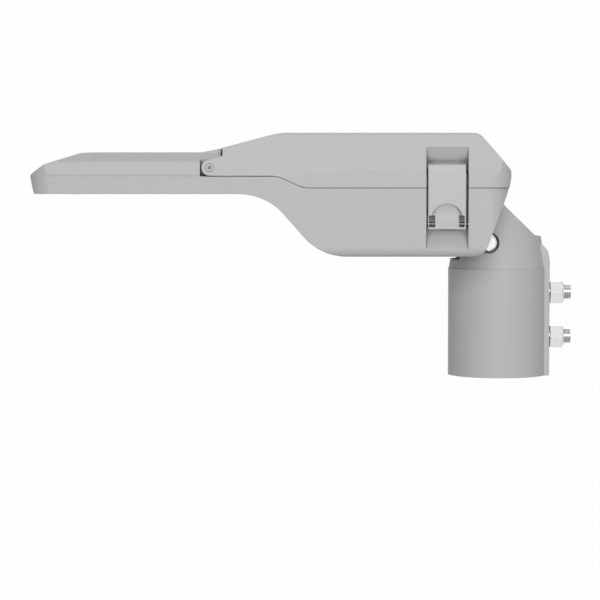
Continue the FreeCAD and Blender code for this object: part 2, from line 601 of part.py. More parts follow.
def mast_fitter():
    wide = SLEEVE_R + 15
    fork_top = PIVOT_Z + FORK_R + 1
    upper_rise = fork_top - SLEEVE_STRAIGHT
    low_z = SLEEVE_STRAIGHT - 1
    sleeve = rod_z(0, 0, SLEEVE_R, 0, SLEEVE_STRAIGHT)
    cone = Part.makeCone(SLEEVE_R - 0.5, SLEEVE_R - 0.5 - SLEEVE_TAPER * upper_rise, upper_rise,
                         V(0, 0, SLEEVE_STRAIGHT), V(0, 0, 1))
    mitre = side_prism([(-wide, low_z), (PAD_FACE_X, low_z), (PAD_FACE_X, MITRE_FOOT[1], 0.5),
                        (*MITRE_FOOT, 1), (*MITRE_TOP, 1.5), (MITRE_TOP[0], fork_top + 10),
                        (-wide, fork_top + 10)], -wide, wide)
    behind = block((MITRE_TOP[0], wide), (-wide, wide), (low_z, fork_top))
    reach = fork_cylinder(FORK_R, wide).fuse(behind)
    reach = reach.fuse(block((-wide, wide), (-wide, wide), (low_z, SLEEVE_HEIGHT)))
    fork = cone.common(mitre).common(reach)
    pad_top = SLEEVE_HEIGHT + 13.2
    pad = side_prism([(10, 0), (PAD_FACE_X, 0), (PAD_FACE_X, SLEEVE_HEIGHT - 0.6, 6),
                      (PAD_FACE_X - 1.8, SLEEVE_HEIGHT + 7.9, 4), (BORE_R - 1, pad_top, 1), (10, pad_top)],
                     -PAD_HALF_WIDTH, PAD_HALF_WIDTH)
    gap_half = (-FORK_GAP_HALF, FORK_GAP_HALF)
    gap = block((-wide, FORK_WEB_X), gap_half, (SLEEVE_HEIGHT, fork_top + 10))
    gap_top = block((-wide, wide), gap_half, (PIVOT_Z + 11, fork_top + 10))
    body = sleeve.fuse([fork, pad]).cut([gap, gap_top])
    cuts = [rod_z(0, 0, BORE_R, -1, SOCKET_DEPTH),
            rod_z(PIVOT_X, 0, CABLE_HOLE_R, SOCKET_DEPTH - 1, SLEEVE_HEIGHT + 1),
            rod_y(PIVOT_X, PIVOT_Z, TILT_BOLT_R + 0.02, -wide, wide),
            rod_y(PIVOT_X, PIVOT_Z, COUNTERBORE_R, COUNTERBORE_FLOOR, wide),
            rod_y(PIVOT_X, PIVOT_Z, COUNTERBORE_R, -wide, -COUNTERBORE_FLOOR)]
    for z in SCREW_HEIGHTS:
        cuts.append(rod_x(0, z, SCREW_R + 0.02, 10, PAD_FACE_X + 5))
    return body.cut(cuts).removeSplitter()


def tilt_bolt():
    head_y = -COUNTERBORE_FLOOR - WASHER_T
    shank = rod_y(PIVOT_X, PIVOT_Z, TILT_BOLT_R, head_y, COUNTERBORE_FLOOR + WASHER_T + TILT_NUT + 0.8)
    head = hexagon(BOLT_ACROSS_FLATS, BOLT_HEAD, V(PIVOT_X, head_y, PIVOT_Z), V(0, -1, 0))
    return shank.fuse(head)


def tilt_nut():
    start = COUNTERBORE_FLOOR + WASHER_T
    nut = hexagon(BOLT_ACROSS_FLATS, TILT_NUT, V(PIVOT_X, start, PIVOT_Z), V(0, 1, 0))
    return nut.cut(rod_y(PIVOT_X, PIVOT_Z, TILT_BOLT_R + 0.02, 0, 60))


def tilt_washers():
    rings = []
    for side in (-1, 1):
        low, high = sorted((side * COUNTERBORE_FLOOR, side * (COUNTERBORE_FLOOR + WASHER_T)))
        disc = rod_y(PIVOT_X, PIVOT_Z, WASHER_R, low, high)
        rings.append(disc.cut(rod_y(PIVOT_X, PIVOT_Z, TILT_BOLT_R + 0.2, -60, 60)))
    return group(rings)


def set_screws():
    screws = []
    for z in SCREW_HEIGHTS:
        start = BORE_R + SCREW_SETBACK
        screw = rod_x(0, z, SCREW_R, start, start + SCREW_LENGTH)
        socket = hexagon(6.0, 6.0, V(start + SCREW_LENGTH, 0, z), V(-1, 0, 0))
        screws.append(screw.cut(socket))
    return group(screws)


def lock_nuts():
    seat_x = PAD_FACE_X + NUT_WASHER
    crown_x = seat_x + NUT_HEIGHT - NUT_CROWN
    nuts = []
    for z in SCREW_HEIGHTS:
        nut = hexagon(NUT_ACROSS_FLATS, NUT_HEIGHT, V(seat_x, 0, z), V(1, 0, 0))
        rounding = Part.makeCone(NUT_ACROSS_FLATS / 2 + 4.5, NUT_ACROSS_FLATS / 2 - 0.5, NUT_CROWN,
                                 V(crown_x, 0, z), V(1, 0, 0))
        rest = rod_x(0, z, NUT_ACROSS_FLATS, PAD_FACE_X, crown_x)
        collar = rod_x(0, z, NUT_ACROSS_FLATS / 2 - 0.8, PAD_FACE_X, seat_x)
        nut = nut.common(rest.fuse(rounding)).fuse(collar)
        nuts.append(nut.cut(rod_x(0, z, SCREW_R + 0.02, 0, crown_x + 20)))
    return group(nuts)


def lens_frame():
    ring = plan_plate(FRAME_X, FRAME_HALF, (FRONT_BOTTOM, FRONT_BOTTOM + FRAME_T), FRAME_CORNER_R)
    hole = plan_plate((GLASS_X[0] + 10, GLASS_X[1] - 10), GLASS_HALF - 10,
                      (FRONT_BOTTOM - 1, FRONT_BOTTOM + FRAME_T + 1), GLASS_CORNER_R)
    cuts = [hole]
    for x, y in frame_screw_points():
        cuts.append(rod_z(x, y, 2.1, FRONT_BOTTOM - 1, FRONT_BOTTOM + FRAME_T + 1))
        cuts.append(rod_z(x, y, 3.5, FRONT_BOTTOM - 1, FRONT_BOTTOM + 1.2))
    return ring.cut(cuts)


def lens_frame_screws():
    screws = []
    for x, y in frame_screw_points():
        head = rod_z(x, y, 3.4, FRONT_BOTTOM, FRONT_BOTTOM + 1.2)
        screws.append(head.fuse(rod_z(x, y, 2.0, FRONT_BOTTOM + 1.2, FRONT_BOTTOM + 9)))
    return group(screws)


def glass_low():
    return FRONT_BOTTOM + FRAME_T


def lens_glass():
    return plan_plate(GLASS_X, GLASS_HALF, (glass_low(), glass_low() + GLASS_T), GLASS_CORNER_R)


def lens_gasket():
    low = glass_low() + GLASS_T
    ring = plan_plate(GLASS_X, GLASS_HALF, (low, low + LENS_GASKET_T), GLASS_CORNER_R)
    hole = plan_plate((GLASS_X[0] + LENS_GASKET_WIDTH, GLASS_X[1] - LENS_GASKET_WIDTH),
                      GLASS_HALF - LENS_GASKET_WIDTH, (low - 1, low + LENS_GASKET_T + 1), 3)
    return ring.cut(hole)


def led_board():
    board = plan_plate(BOARD_X, BOARD_HALF, (BOARD_SEAT - BOARD_T, BOARD_SEAT), 3)
    return board.cut([rod_z(x, y, 1.7, BOARD_SEAT - 5, BOARD_SEAT + 1) for x, y in board_screw_points()])


def board_screws():
    low = BOARD_SEAT - BOARD_T
    screws = []
    for x, y in board_screw_points():
        screws.append(rod_z(x, y, 2.8, low - 1.6, low).fuse(rod_z(x, y, 1.5, low, BOARD_SEAT + 3.8)))
    return group(screws)


def chip_points():
    middle = (BOARD_X[0] + BOARD_X[1]) / 2
    rows = centred(BOARD_X[1] - BOARD_X[0] - 2 * CHIP_EDGE, CHIP_PITCH)
    columns = centred(2 * (BOARD_HALF - CHIP_EDGE), CHIP_PITCH)
    return [(middle + row, column) for column in columns for row in rows]


def led_chips():
    top = BOARD_SEAT - BOARD_T
    chips = []
    for x, y in chip_points():
        chips.append(block((x - CHIP / 2, x + CHIP / 2), (y - CHIP / 2, y + CHIP / 2), (top - CHIP_T, top)))
    return group(chips)


def lens_array():
    top = BOARD_SEAT - BOARD_T
    plate_top = top - CHIP_T - 0.2
    plate_low = plate_top - LENS_PLATE_T
    x_range = (BOARD_X[0] + 9, BOARD_X[1] - 9)
    half = BOARD_HALF - 5
    plate = plan_plate(x_range, half, (plate_low, top), 4)
    hollow = plan_plate((x_range[0] + 2, x_range[1] - 2), half - 2, (plate_top, top + 1), 2)
    domes = []
    for x, y in chip_points():
        ball = Part.makeSphere(DOME_R, V(x, y, plate_low - DOME_DEPTH + DOME_R))
        domes.append(ball.common(block((x - 20, x + 20), (y - 20, y + 20), (plate_low - 5, plate_low))))
    return plate.cut(hollow).fuse(domes).removeSplitter()


def driver_tray():
    tray = plan_plate(TRAY_X, TRAY_HALF, (TRAY_Z, TRAY_Z + TRAY_T), 4)
    lip = plan_plate(TRAY_X, TRAY_HALF, (TRAY_Z, TRAY_Z + 7), 4)
    lip = lip.cut(plan_plate((TRAY_X[0] - 5, TRAY_X[1] + 5), TRAY_HALF - TRAY_T, (TRAY_Z, TRAY_Z + 8)))
    holes = [rod_z(x, y, 2.2, TRAY_Z - 1, TRAY_Z + 10) for x, y in tray_points()]
    return tray.fuse(lip).cut(holes).removeSplitter()


def tray_screws():
    top = TRAY_Z + TRAY_T
    screws = []
    for x, y in tray_points():
        screws.append(rod_z(x, y, 3.8, top, top + 2.6).fuse(rod_z(x, y, 2.0, TRAY_Z - 7, top)))
    return group(screws)


def led_driver():
    base = TRAY_Z + TRAY_T
    low_y = -TRAY_HALF + 12.0
    high_y = low_y + DRIVER_WIDTH
    top = base + DRIVER_HEIGHT
    case = cross_prism([(low_y, base), (high_y, base), (high_y, top, 3), (low_y, top, 3)],
                       TRAY_X[0] + 16, TRAY_X[1] - 10)
    foot = plan_plate((TRAY_X[0] + 12, TRAY_X[1] - 6), 10, (base, base + 2), 2)
    foot.translate(V(0, (low_y + high_y) / 2, 0))
    return case.fuse(foot)


def surge_protector():
    base = TRAY_Z + TRAY_T
    low_x = TRAY_X[0] + 16
    low_y = DRIVER_WIDTH - TRAY_HALF + 22.0
    case = block((low_x, low_x + SURGE_SIZE[0]), (low_y, low_y + SURGE_SIZE[1]),
                 (base, base + SURGE_SIZE[2]))
    upper = [edge for edge in case.Edges if edge.CenterOfMass.z > base + SURGE_SIZE[2] - 1]
    return case.makeFillet(2.0, upper)


def terminal_block():
    base = TRAY_Z + TRAY_T
    low_x = TRAY_X[1] - 12 - TERMINAL_SIZE[0]
    low_y = DRIVER_WIDTH - TRAY_HALF + 24.0
    top = base + TERMINAL_SIZE[2]
    body = block((low_x, low_x + TERMINAL_SIZE[0]), (low_y, low_y + TERMINAL_SIZE[1]), (base, top))
    pitch = TERMINAL_SIZE[1] / TERMINAL_WAYS
    cuts = []
    for i in range(TERMINAL_WAYS):
        y = low_y + pitch * (i + 0.5)
        cuts.append(rod_x(y, base + 6, 2.2, low_x - 1, low_x + 8))
        cuts.append(rod_z(low_x + 7, y, 2.4, top - 6, top + 2))
    return body.cut(cuts)


def cable_gland():
    thread = rod_x(0, GLAND_Z, GLAND_THREAD_R - 0.02, GLAND_SEAT_X, GLAND_SEAT_X + 16)
    body = hexagon(2 * GLAND_R - 2, 5, V(GLAND_SEAT_X, 0, GLAND_Z), V(-1, 0, 0))
    dome = rod_x(0, GLAND_Z, GLAND_R - 1.5, GLAND_SEAT_X - 13, GLAND_SEAT_X - 5)
    return thread.fuse([body, dome]).cut(rod_x(0, GLAND_Z, CABLE_R, GLAND_SEAT_X - 20, GLAND_SEAT_X + 20))


def breather_valve():
    head = rod_z(VALVE_X, VALVE_Y, VALVE_HEAD_R, BOTTOM_Z, BOTTOM_Z + 1.6)
    return head.fuse(rod_z(VALVE_X, VALVE_Y, VALVE_THREAD_R - 0.02, BOTTOM_Z, BOTTOM_Z + HOUSING_WALL + 4))


def earth_screw():
    top = TRAY_Z + TRAY_T
    x = TRAY_X[0] + 7
    nut = hexagon(7.0, 3.0, V(x, EARTH_SCREW_Y, top), V(0, 0, 1))
    return nut.fuse(rod_z(x, EARTH_SCREW_Y, 2.0, top, top + 8))


def catch_rod():
    return rod_x(CATCH_ROD_Y, CATCH_ROD_Z, CATCH_ROD_R, *catch_rod_span())


def latch_pin():
    return rod_x(LATCH_AXIS_Y, LATCH_AXIS_Z, LATCH_PIN_R, *latch_pin_span())


os.makedirs("parts", exist_ok=True)
save("lower_housing", lower_housing())
save("top_cover", top_cover())
save("cover_gasket", cover_gasket())
save("hinge_pin_left", mirrored(hinge_pin()))
save("hinge_pin_right", hinge_pin())
save("side_latch_left", mirrored(side_latch()))
save("side_latch_right", side_latch())
save("latch_pin_left", mirrored(latch_pin()))
save("latch_pin_right", latch_pin())
save("catch_rod_left", mirrored(catch_rod()))
save("catch_rod_right", catch_rod())
save("mast_fitter", mast_fitter())
save("tilt_bolt", tilt_bolt())
save("tilt_nut", tilt_nut())
save("tilt_washers", tilt_washers())
save("set_screws", set_screws())
save("lock_nuts", lock_nuts())
save("lens_frame", lens_frame())
save("lens_frame_screws", lens_frame_screws())
save("lens_glass", lens_glass())
save("lens_gasket", lens_gasket())
save("led_board", led_board())
save("board_screws", board_screws())
save("led_chips", led_chips())
save("lens_array", lens_array())
save("driver_tray", driver_tray())
save("tray_screws", tray_screws())
save("led_driver", led_driver())
save("surge_protector", surge_protector())
save("terminal_block", terminal_block())
save("cable_gland", cable_gland())
save("breather_valve", breather_valve())
save("earth_screw", earth_screw())
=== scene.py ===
import math

import bmesh
import bpy
from mathutils import Matrix, Vector


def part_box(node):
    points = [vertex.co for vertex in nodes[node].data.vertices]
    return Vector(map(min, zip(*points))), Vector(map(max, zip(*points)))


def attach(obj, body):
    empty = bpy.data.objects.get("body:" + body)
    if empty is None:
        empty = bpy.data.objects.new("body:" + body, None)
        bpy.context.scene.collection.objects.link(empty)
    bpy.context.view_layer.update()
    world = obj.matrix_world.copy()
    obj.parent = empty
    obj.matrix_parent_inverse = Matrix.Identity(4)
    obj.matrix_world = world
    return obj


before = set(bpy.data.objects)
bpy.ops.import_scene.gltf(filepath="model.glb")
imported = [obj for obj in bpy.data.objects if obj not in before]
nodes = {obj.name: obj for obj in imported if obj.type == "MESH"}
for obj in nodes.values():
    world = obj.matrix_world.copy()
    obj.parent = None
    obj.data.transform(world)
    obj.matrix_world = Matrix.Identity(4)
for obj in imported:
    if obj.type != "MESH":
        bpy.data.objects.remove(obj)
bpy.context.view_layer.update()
print("frame loaded:", len(nodes), "nodes")


# a socket that takes part in sums, so shader maths reads as a formula
class Wire:
    def __init__(self, tree, socket):
        self.tree = tree
        self.socket = socket

    def math(self, operation, *others, clamp=False):
        node = self.tree.nodes.new("ShaderNodeMath")
        node.operation = operation
        node.use_clamp = clamp
        for place, value in enumerate((self,) + others):
            feed(self.tree, node.inputs[place], value)
        return Wire(self.tree, node.outputs[0])

    def __add__(self, other):
        return self.math("ADD", other)

    def __mul__(self, other):
        return self.math("MULTIPLY", other)

    def __sub__(self, other):
        return self.math("SUBTRACT", other)

    def __rsub__(self, other):
        return (self * -1.0) + other

    __radd__ = __add__
    __rmul__ = __mul__


def feed(tree, socket, value):
    if isinstance(value, Wire):
        tree.links.new(value.socket, socket)
    else:
        socket.default_value = value


# one material's node tree, with a single way to add any node
class Finish:
    def __init__(self, name):
        self.material = bpy.data.materials.new(name)
        self.material.use_nodes = True
        self.tree = self.material.node_tree
        self.shader = self.tree.nodes["Principled BSDF"]
        self.spot = self.add("ShaderNodeTexCoord", {}, {}, "Object")

    def add(self, kind, settings, values, output=0):
        node = self.tree.nodes.new(kind)
        for key, value in settings.items():
            setattr(node, key, value)
        for key, value in values.items():
            feed(self.tree, node.inputs[key], value)
        return Wire(self.tree, node.outputs[output])

    def noise(self, scale, detail=3.0, rough=0.5, stretch=None):
        spot = self.spot
        if stretch:
            spot = self.add("ShaderNodeMapping", {}, {"Vector": self.spot, "Scale": stretch}, "Vector")
        values = {"Vector": spot, "Scale": scale, "Detail": detail, "Roughness": rough}
        return self.add("ShaderNodeTexNoise", {}, values, "Fac")

    def blendColours(self, factor, first, second):
        node = self.tree.nodes.new("ShaderNodeMix")
        node.data_type = "RGBA"
        feed(self.tree, node.inputs["Factor"], factor)
        feed(self.tree, node.inputs[6], first)
        feed(self.tree, node.inputs[7], second)
        return Wire(self.tree, node.outputs[2])

    def set(self, **sockets):
        for key, value in sockets.items():
            feed(self.tree, self.shader.inputs[key.replace("_", " ")], value)

    # fine relief, with edges rounded over the given radius where one is given
    def relief(self, height, strength, distance, edge=0.0):
        values = {"Height": height, "Strength": strength, "Distance": distance}
        if edge > 0:
            values["Normal"] = self.add("ShaderNodeBevel", {"samples": 6}, {"Radius": edge}, "Normal")
        self.set(Normal=self.add("ShaderNodeBump", {}, values, "Normal"))


def shade(value):
    if isinstance(value, (int, float)):
        value = (value, value, value)
    return tuple(value) + (1.0,)


# settings of the painted crevice shade's mask
hollows = {"samples": 8, "contrast": 2.2, "shift": -0.6}


# painted shade: the colour turns dark where a surface is hemmed in within the given reach, standing in for
# shadow in creases, recesses and gaps between parts
def paintedCreviceShade(finish, creviceShade, reach, colour):
    samples = {"samples": hollows["samples"]}
    openness = finish.add("ShaderNodeAmbientOcclusion", samples, {"Distance": reach}, "AO")
    unshaded = openness.math("MULTIPLY_ADD", hollows["contrast"], hollows["shift"], clamp=True)
    return finish.blendColours(unshaded, shade(creviceShade), colour)


# satin powder coat: two tones mixed in soft clouds, a fine grain, orange peel as relief, and painted shade
# in creases and gaps
paint = {"pale": (0.551, 0.552, 0.564), "deep": (0.506, 0.508, 0.52), "roughness": 0.58, "edge": 0.0011,
         "smallEdge": 0.0004, "smallTone": 1.07, "cloudScale": 9.0, "grainScale": 1400.0, "peelScale": 320.0,
         "peelStrength": 0.22, "peelDepth": 0.00006, "creviceShade": (0.05, 0.05, 0.052), "reach": 0.009,
         "fitterReach": 0.0015}


def greyPowderCoat(name, edge, tone=1.0, reach=paint["reach"]):
    finish = Finish(name)
    cloud = finish.noise(paint["cloudScale"], detail=4.0)
    grain = finish.noise(paint["grainScale"], detail=2.0)
    orangePeel = finish.noise(paint["peelScale"], detail=2.0)
    deep, pale = (shade([part * tone for part in paint[key]]) for key in ("deep", "pale"))
    coat = finish.blendColours(cloud * 0.7 + grain * 0.3, deep, pale)
    # painted shade: the coat darkens in creases, recesses and gaps, where shadow falls
    finish.set(Base_Color=paintedCreviceShade(finish, paint["creviceShade"], reach, coat))
    finish.set(Roughness=cloud * 0.10 + grain * 0.06 + (paint["roughness"] - 0.08))
    finish.set(IOR=1.5, Specular_IOR_Level=0.5)
    finish.relief(orangePeel * 0.6 + grain * 0.4, paint["peelStrength"], paint["peelDepth"], edge)
    return finish.material


# one on the edges of a piece within the given radius, nothing on its flats
def alongEdges(finish, radius, sharpness):
    rounded = finish.add("ShaderNodeBevel", {"samples": 8}, {"Radius": radius}, "Normal")
    flat = finish.add("ShaderNodeNewGeometry", {}, {}, "Normal")
    match = finish.add("ShaderNodeVectorMath", {"operation": "DOT_PRODUCT"}, {0: rounded, 1: flat}, "Value")
    return (1.0 - match).math("MULTIPLY", sharpness, clamp=True)


# drawn or turned steel: fine lines one way, dark lines painted along the edges as painted reflection, and
# painted shade in crevices
steel = {"lineScale": 900.0, "cloudScale": 60.0, "lineTone": 0.86, "edge": 0.0004, "edgeShadeWidth": 2.0,
         "edgeShadeSharpness": 14.0, "edgeShadeTone": 0.3, "creviceShade": 0.04, "reach": 0.0025}


def machinedSteel(name, tint, roughness, stretch, edge=steel["edge"]):
    finish = Finish(name)
    lines = finish.noise(steel["lineScale"], detail=2.0, rough=0.6, stretch=stretch)
    cloud = finish.noise(steel["cloudScale"])
    steelColour = finish.blendColours(lines, shade([part * steel["lineTone"] for part in tint]), shade(tint))
    # painted reflection: edges and chamfers are darkened to stand in for the dark surroundings they would
    # reflect
    edgeShade = alongEdges(finish, edge * steel["edgeShadeWidth"], steel["edgeShadeSharpness"])
    steelColour = finish.blendColours(edgeShade, steelColour, shade([part * steel["edgeShadeTone"] for part in tint]))
    # painted shade: the steel darkens at seats, thread roots and other crevices, where shadow falls
    finish.set(Base_Color=paintedCreviceShade(finish, steel["creviceShade"], steel["reach"], steelColour))
    finish.set(Metallic=1.0, Roughness=lines * 0.10 + cloud * 0.08 + (roughness - 0.09))
    finish.relief(lines, strength=0.15, distance=0.00003, edge=edge)
    return finish.material


plastic = {"grainScale": 900.0, "cloudScale": 25.0, "cloudTone": 0.9, "edge": 0.0006}


def moulded(name, colour, roughness, edge=plastic["edge"]):
    finish = Finish(name)
    speck = finish.noise(plastic["grainScale"], detail=2.0)
    cloud = finish.noise(plastic["cloudScale"])
    deep = shade([part * plastic["cloudTone"] for part in colour])
    finish.set(Base_Color=finish.blendColours(cloud, deep, shade(colour)))
    finish.set(Roughness=speck * 0.12 + (roughness - 0.06), Specular_IOR_Level=0.45)
    finish.relief(speck, strength=0.2, distance=0.00005, edge=edge)
    return finish.material


def temperedGlass(name):
    finish = Finish(name)
    ripple = finish.noise(scale=14.0)
    dust = finish.noise(scale=220.0, detail=4.0)
    finish.set(Base_Color=shade((0.93, 0.97, 0.96)), Transmission_Weight=1.0, IOR=1.5)
    finish.set(Roughness=dust * 0.03 + 0.01)
    finish.relief(ripple, strength=0.05, distance=0.0002)
    return finish.material


def clearLens(name):
    finish = Finish(name)
    flow = finish.noise(scale=40.0)
    finish.set(Base_Color=shade((0.95, 0.96, 0.96)), Transmission_Weight=0.85, IOR=1.49)
    finish.set(Roughness=flow * 0.06 + 0.04)
    finish.relief(flow, strength=0.08, distance=0.0002)
    return finish.material


def whiteBoard(name):
    finish = Finish(name)
    values = {"Vector": finish.spot, "Scale": 45.0, "Mortar Size": 0.02,
              "Color1": shade(0.84), "Color2": shade(0.81), "Mortar": shade((0.7, 0.69, 0.62))}
    tracks = finish.add("ShaderNodeTexBrick", {"offset": 0.5}, values, "Color")
    finish.set(Base_Color=tracks, Roughness=finish.noise(scale=300.0) * 0.1 + 0.35)
    finish.relief(finish.noise(scale=600.0), strength=0.1, distance=0.00003, edge=0.0003)
    return finish.material


def phosphorChip(name):
    finish = Finish(name)
    speck = finish.noise(scale=2500.0, detail=2.0)
    finish.set(Base_Color=finish.blendColours(speck, shade((0.86, 0.66, 0.16)), shade((0.93, 0.80, 0.35))))
    finish.set(Roughness=speck * 0.1 + 0.3)
    finish.relief(speck, strength=0.1, distance=0.00003, edge=0.0003)
    return finish.material


finishes = {
    "castBody": greyPowderCoat("castBody", paint["edge"]),
    "castFitter": greyPowderCoat("castFitter", paint["edge"], reach=paint["fitterReach"]),
    "castSmall": greyPowderCoat("castSmall", paint["smallEdge"], paint["smallTone"]),
    # painted shade: the latch pins are near black so that they read as the shadowed gap around them
    "shadowed": moulded("shadeBlackSteel", (0.03, 0.03, 0.032), 0.5, edge=0.0003),
    "bright": machinedSteel("brightStainless", (0.8, 0.8, 0.81), 0.16, (0.15, 1.0, 1.0)),
    "threaded": machinedSteel("threadedStainless", (0.42, 0.42, 0.43), 0.28, (1.0, 0.15, 1.0), edge=0.0002),
    # painted shade: the catch rods are darkened to stand in for the dark pocket they reflect
    "shadeDarkSteel": machinedSteel("shadeDarkSteel", (0.12, 0.12, 0.125), 0.24, (0.15, 1.0, 1.0)),
    "turned": machinedSteel("turnedStainless", (0.4, 0.4, 0.41), 0.34, (1.0, 0.15, 1.0)),
    "zinc": machinedSteel("zincSheet", (0.70, 0.71, 0.72), 0.38, (1.0, 0.2, 1.0)),
    "silicone": moulded("silicone", (0.05, 0.05, 0.052), 0.62),
    "blackPlastic": moulded("blackPlastic", (0.028, 0.028, 0.03), 0.42),
    "whitePlastic": moulded("whitePlastic", (0.74, 0.74, 0.72), 0.36),
    "glass": temperedGlass("temperedGlass"),
    "lens": clearLens("clearLens"),
    "board": whiteBoard("whiteBoard"),
    "chip": phosphorChip("phosphorChip"),
}
wearing = {
    "castBody": ("lower_housing", "top_cover", "lens_frame"),
    "castFitter": ("mast_fitter",),
    "castSmall": ("side_latch_left", "side_latch_right", "hinge_pin_left", "hinge_pin_right"),
    "bright": ("lock_nuts",),
    "threaded": ("set_screws",),
    "shadeDarkSteel": ("catch_rod_left", "catch_rod_right"),
    "shadowed": ("latch_pin_left", "latch_pin_right"),
    "turned": ("tilt_bolt", "tilt_nut", "tilt_washers", "lens_frame_screws", "board_screws", "tray_screws"),
    "zinc": ("driver_tray", "earth_screw"),
    "silicone": ("cover_gasket", "lens_gasket"),
    "blackPlastic": ("cable_gland", "breather_valve", "surge_protector"),
    "whitePlastic": ("led_driver", "terminal_block"),
    "glass": ("lens_glass",),
    "lens": ("lens_array",),
    "board": ("led_board",),
    "chip": ("led_chips",),
}
for finishName, wearers in wearing.items():
    for wearer in wearers:
        slots = nodes[wearer].data.materials
        slots.clear()
        slots.append(finishes[finishName])
print("finishes made:", len(finishes))


def newPiece(name, bm, finishName, body):
    bmesh.ops.remove_doubles(bm, verts=bm.verts, dist=1e-6)
    bmesh.ops.recalc_face_normals(bm, faces=bm.faces)
    mesh = bpy.data.meshes.new(name)
    bm.to_mesh(mesh)
    bm.free()
    piece = bpy.data.objects.new(name, mesh)
    bpy.context.scene.collection.objects.link(piece)
    mesh.materials.append(finishes[finishName])
    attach(piece, body)


def facesOf(made):
    return list({face for vert in made["verts"] for face in vert.link_faces})


def edgesOf(verts):
    return list({edge for vert in verts for edge in vert.link_edges})


def topFace(made):
    return max(facesOf(made), key=lambda face: face.calc_center_median().z)


# round screws with a raised middle, sunk into the terminal block's five clamps
terminalScrew = {"count": 5, "radius": 0.0019, "height": 0.0012, "firstY": 0.0088, "pitch": 0.0096,
                 "fromEdge": 0.007, "belowTop": 0.004, "rim": 0.0004, "raised": 0.0003}


def terminalScrews():
    low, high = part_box("terminal_block")
    x = low.x + terminalScrew["fromEdge"]
    z = high.z - terminalScrew["belowTop"]
    bm = bmesh.new()
    for index in range(terminalScrew["count"]):
        y = terminalScrew["firstY"] + index * terminalScrew["pitch"]
        made = bmesh.ops.create_cone(bm, cap_ends=True, segments=20, radius1=terminalScrew["radius"],
                                     radius2=terminalScrew["radius"], depth=terminalScrew["height"],
                                     matrix=Matrix.Translation((x, y, z)))
        bmesh.ops.inset_individual(bm, faces=[topFace(made)], thickness=terminalScrew["rim"],
                                   depth=terminalScrew["raised"])
    newPiece("terminal_screws", bm, "zinc", "head")


# ribs round the gland's clamping dome
glandRibs = {"count": 12, "width": 0.0012, "reach": 0.0005, "length": 0.006, "fromEnd": 0.004,
             "radius": 0.0085}


def ribsOnGland():
    low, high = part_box("cable_gland")
    centre = Matrix.Translation((low.x + glandRibs["fromEnd"], (low.y + high.y) / 2, (low.z + high.z) / 2))
    outwards = Matrix.Translation((0, 0, glandRibs["radius"]))
    size = Matrix.Diagonal((glandRibs["length"], glandRibs["width"], glandRibs["reach"] * 2, 1))
    bm = bmesh.new()
    for index in range(glandRibs["count"]):
        turn = Matrix.Rotation(math.tau * index / glandRibs["count"], 4, "X")
        made = bmesh.ops.create_cube(bm, size=1.0)
        bmesh.ops.transform(bm, verts=made["verts"], matrix=centre @ turn @ outwards @ size)
    newPiece("gland_ribs", bm, "blackPlastic", "head")


# one helical ridge along the free end of each set screw
screwThread = {"heights": (0.0335, 0.0724), "radius": 0.00595, "pitch": 0.00175, "reach": 0.00025,
               "halfWidth": 0.0007, "steps": 28}


def threadsOnScrews():
    bm = bmesh.new()
    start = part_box("lock_nuts")[1].x + screwThread["halfWidth"]
    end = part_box("set_screws")[1].x - screwThread["halfWidth"]
    turns = (end - start) / screwThread["pitch"]
    rise = screwThread["pitch"] / screwThread["steps"]
    flatten = screwThread["reach"] / screwThread["halfWidth"]
    for height in screwThread["heights"]:
        made = bmesh.ops.create_circle(bm, cap_ends=True, segments=3, radius=screwThread["halfWidth"])
        bmesh.ops.scale(bm, verts=made["verts"], vec=(1.0, flatten, 1.0))
        bmesh.ops.translate(bm, verts=made["verts"], vec=(start, screwThread["radius"], height))
        bmesh.ops.spin(bm, geom=facesOf(made), cent=(0, 0, height), axis=(1, 0, 0), dvec=(rise, 0, 0),
                       angle=math.tau * turns, steps=int(screwThread["steps"] * turns))
    newPiece("screw_threads", bm, "threaded", "fitter")


# low button heads with a hexagon socket, standing on the flush screw heads under the lens frame
frameScrew = {"radius": 0.0033, "crown": 0.0027, "height": 0.0003, "hexagon": 0.00145,
              "socketFloor": 0.00005, "fromEnd": 0.0034, "fromSide": 0.0034}


def buttonHead(bm, place):
    rim = bmesh.ops.create_circle(bm, segments=24, radius=frameScrew["radius"])["verts"]
    crown = bmesh.ops.create_circle(bm, segments=24, radius=frameScrew["crown"])["verts"]
    mouth = bmesh.ops.create_circle(bm, segments=6, radius=frameScrew["hexagon"])["verts"]
    floor = bmesh.ops.create_circle(bm, cap_ends=True, segments=6, radius=frameScrew["hexagon"])["verts"]
    bmesh.ops.translate(bm, verts=crown + mouth, vec=(0, 0, -frameScrew["height"]))
    bmesh.ops.translate(bm, verts=floor, vec=(0, 0, -frameScrew["socketFloor"]))
    loops = [edgesOf(ring) for ring in (rim, crown, mouth, floor)]
    for first, second in zip(loops, loops[1:]):
        bmesh.ops.bridge_loops(bm, edges=first + second)
    bmesh.ops.translate(bm, verts=rim + crown + mouth + floor, vec=place)


def frameScrewHeads():
    low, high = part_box("lens_frame_screws")
    bm = bmesh.new()
    for along in (0.0, 0.5, 1.0):
        x = low.x + frameScrew["fromEnd"] + along * (high.x - low.x - 2 * frameScrew["fromEnd"])
        for y in (low.y + frameScrew["fromSide"], high.y - frameScrew["fromSide"]):
            buttonHead(bm, (x, y, low.z))
    newPiece("frame_screw_heads", bm, "turned", "head")


